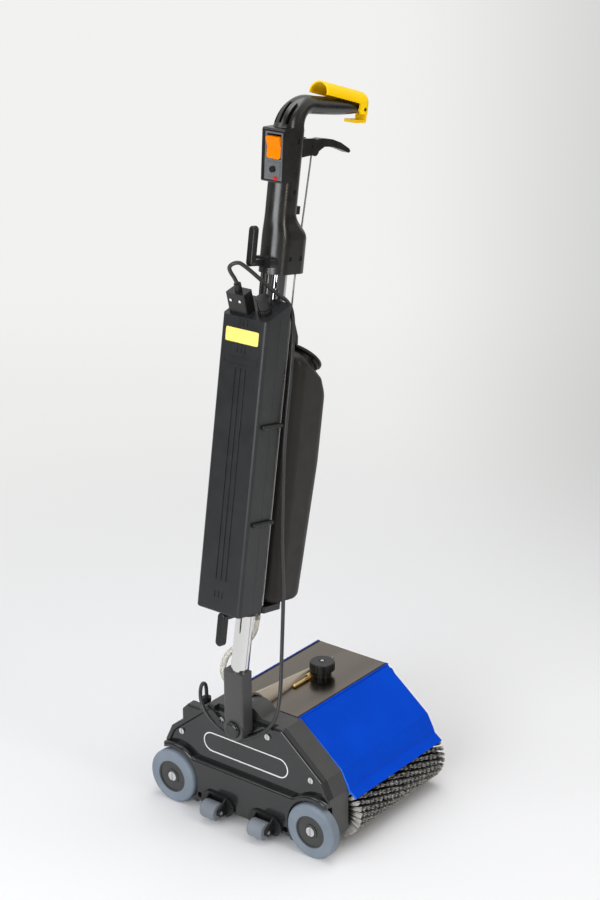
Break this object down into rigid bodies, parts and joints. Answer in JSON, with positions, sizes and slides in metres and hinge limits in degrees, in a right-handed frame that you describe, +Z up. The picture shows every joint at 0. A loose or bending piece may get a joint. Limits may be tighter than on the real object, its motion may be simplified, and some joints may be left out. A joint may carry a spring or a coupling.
{
  "type": "floor scrubber",
  "caption": "Upright twin roller floor scrubber with a leaning handle, battery case, water tank, squeeze lever, water trigger and counter turning cylindrical brushes.",
  "frame": {"origin": "centre of the bounding box at floor level", "axes": "+Z up, +X to the right along the wheel side, +Y from the wheels towards the far brush ends"},
  "size_m": [0.37, 0.3643, 1.1476],
  "materials": {
    "cover_black": "moulded gloss",
    "housing_grey": "moulded grain",
    "frame_black": "painted",
    "stainless": "polished sheet",
    "blue_sheet": "powder coat",
    "bright_steel": "polished",
    "wheel_grey": "moulded",
    "hub_dark": "moulded",
    "black_plastic": "moulded satin",
    "roller_grey": "moulded",
    "bristle_grey": "nylon filament",
    "core_grey": "moulded",
    "gear_white": "moulded",
    "motor_metal": "cast",
    "rotor_metal": "turned",
    "brass": "machined",
    "battery_black": "moulded satin",
    "cell_wrap": "shrink wrap",
    "tank_black": "blow moulded grain",
    "orange": "moulded",
    "yellow": "moulded",
    "red_lens": "clear lens",
    "trigger_black": "powder coat",
    "rod_steel": "drawn wire",
    "cable_black": "sheathed",
    "hose_clear": "translucent"
  },
  "bodies": {
    "chassis": {"end_housing": "housing_grey", "side_cover": "cover_black", "rear_frame": "frame_black", "frame_rails": "frame_black", "top_plate": "stainless", "brush_cover_left": "blue_sheet", "brush_cover_right": "blue_sheet", "motor_case": "motor_metal", "brush_bearings": "bright_steel", "wheel_axles": "bright_steel", "caster_brackets": "black_plastic", "caster_pins": "bright_steel", "cover_screws": "bright_steel", "pivot_pin": "black_plastic", "strain_relief": "cable_black", "regulator_base": "black_plastic", "brass_fitting": "brass"},
    "wheel_left": {"tyre_left": "wheel_grey", "hub_left": "hub_dark"},
    "wheel_right": {"tyre_right": "wheel_grey", "hub_right": "hub_dark"},
    "caster_left": {"caster_roller_left": "roller_grey"},
    "caster_right": {"caster_roller_right": "roller_grey"},
    "brush_left": {"brush_core_left": "core_grey", "brush_bristles_left": "bristle_grey", "brush_gear_left": "gear_white"},
    "brush_right": {"brush_core_right": "core_grey", "brush_bristles_right": "bristle_grey", "brush_gear_right": "gear_white"},
    "idler_a": {"idler_gear_a": "gear_white"},
    "idler_b": {"idler_gear_b": "gear_white"},
    "rotor": {"motor_rotor": "rotor_metal"},
    "regulator": {"regulator_knob": "black_plastic"},
    "handle": {"handle_fork": "black_plastic", "shaft_tube": "bright_steel", "battery_front_shell": "battery_black", "battery_rear_shell": "battery_black", "battery_cells": "cell_wrap", "battery_clips": "black_plastic", "battery_connectors": "black_plastic", "water_tank": "tank_black", "tank_strap": "black_plastic", "tank_valve": "black_plastic", "housing_left": "black_plastic", "housing_right": "black_plastic", "housing_screws": "bright_steel", "switch_plate": "black_plastic", "indicator_lens": "red_lens", "upper_hook": "black_plastic", "lower_hook": "black_plastic", "handle_pins": "bright_steel", "handle_cables": "cable_black", "motor_cable": "cable_black", "clear_hose": "hose_clear"},
    "lid": {"tank_lid": "black_plastic"},
    "rocker_switch": {"rocker": "orange"},
    "button": {"reset_button": "black_plastic"},
    "lever": {"deadman_lever": "yellow"},
    "trigger": {"water_trigger": "trigger_black"},
    "rod": {"pull_rod": "rod_steel"}
  },
  "joints": [
    {"name": "handle_tilt", "type": "hinge", "parent": "chassis", "child": "handle", "pos_m": [0, -0.14065, 0.181], "axis": [0, 1, 0], "range_deg": [-55, 55], "deforming": ["motor_cable", "clear_hose"]},
    {"name": "wheel_left_spin", "type": "hinge", "parent": "chassis", "child": "wheel_left", "pos_m": [-0.14, -0.10065, 0.045], "axis": [0, 1, 0], "continuous": true},
    {"name": "wheel_right_spin", "type": "hinge", "parent": "chassis", "child": "wheel_right", "pos_m": [0.14, -0.10065, 0.045], "axis": [0, 1, 0], "continuous": true},
    {"name": "caster_left_spin", "type": "hinge", "parent": "chassis", "child": "caster_left", "pos_m": [-0.048, -0.15065, 0.022], "axis": [1, 0, 0], "continuous": true},
    {"name": "caster_right_spin", "type": "hinge", "parent": "chassis", "child": "caster_right", "pos_m": [0.048, -0.15065, 0.022], "axis": [1, 0, 0], "continuous": true},
    {"name": "brush_left_spin", "type": "hinge", "parent": "chassis", "child": "brush_left", "pos_m": [-0.1305, -0.10065, 0.052], "axis": [0, 1, 0], "continuous": true},
    {"name": "brush_right_spin", "type": "hinge", "parent": "chassis", "child": "brush_right", "pos_m": [0.1305, -0.10065, 0.052], "axis": [0, 1, 0], "continuous": true},
    {"name": "idler_a_spin", "type": "hinge", "parent": "chassis", "child": "idler_a", "pos_m": [-0.055, -0.10065, 0.07845], "axis": [0, 1, 0], "continuous": true},
    {"name": "idler_b_spin", "type": "hinge", "parent": "chassis", "child": "idler_b", "pos_m": [0.055, -0.10065, 0.07845], "axis": [0, 1, 0], "continuous": true},
    {"name": "rotor_spin", "type": "hinge", "parent": "chassis", "child": "rotor", "pos_m": [-0.03106, -0.10065, 0.14423], "axis": [0, 1, 0], "continuous": true},
    {"name": "regulator_turn", "type": "hinge", "parent": "chassis", "child": "regulator", "pos_m": [0.01, 0.06135, 0.205], "axis": [0, 0, 1], "range_deg": [0, 270]},
    {"name": "lid_hinge", "type": "hinge", "parent": "handle", "child": "lid", "pos_m": [0, 0.00004, 0.76682], "axis": [1, 0, 0], "range_deg": [0, 78]},
    {"name": "rocker_tilt", "type": "hinge", "parent": "handle", "child": "rocker_switch", "pos_m": [0.002, -0.02741, 1.07065], "axis": [1, 0, 0], "range_deg": [-16, 0]},
    {"name": "button_press", "type": "slide", "parent": "handle", "child": "button", "axis": [0, 0.9974, -0.0722], "range_m": [0, 0.0025], "stiffness_N_per_m": 300, "springref_m": -0.001},
    {"name": "lever_press", "type": "hinge", "parent": "handle", "child": "lever", "pos_m": [0, 0.16235, 1.0922], "axis": [1, 0, 0], "range_deg": [0, 7], "stiffness_Nm_per_rad": 0.6, "springref_deg": -6.88},
    {"name": "trigger_pull", "type": "hinge", "parent": "handle", "child": "trigger", "pos_m": [0, 0.04359, 1.05698], "axis": [1, 0, 0], "range_deg": [0, 16], "stiffness_Nm_per_rad": 0.5, "springref_deg": -5.73},
    {"name": "rod_slide", "type": "slide", "parent": "handle", "child": "rod", "axis": [0, 0.1709, 0.9853], "range_m": [0, 0.0035]}
  ],
  "couplings": [
    {"joint": "brush_right_spin", "follows": "brush_left_spin", "ratio": -1},
    {"joint": "idler_a_spin", "follows": "brush_left_spin", "ratio": -0.45454},
    {"joint": "idler_b_spin", "follows": "brush_left_spin", "ratio": 0.45454},
    {"joint": "rotor_spin", "follows": "brush_left_spin", "ratio": 1.6667},
    {"joint": "rod_slide", "follows": "trigger_pull", "m_per_rad": 0.0123}
  ]
}
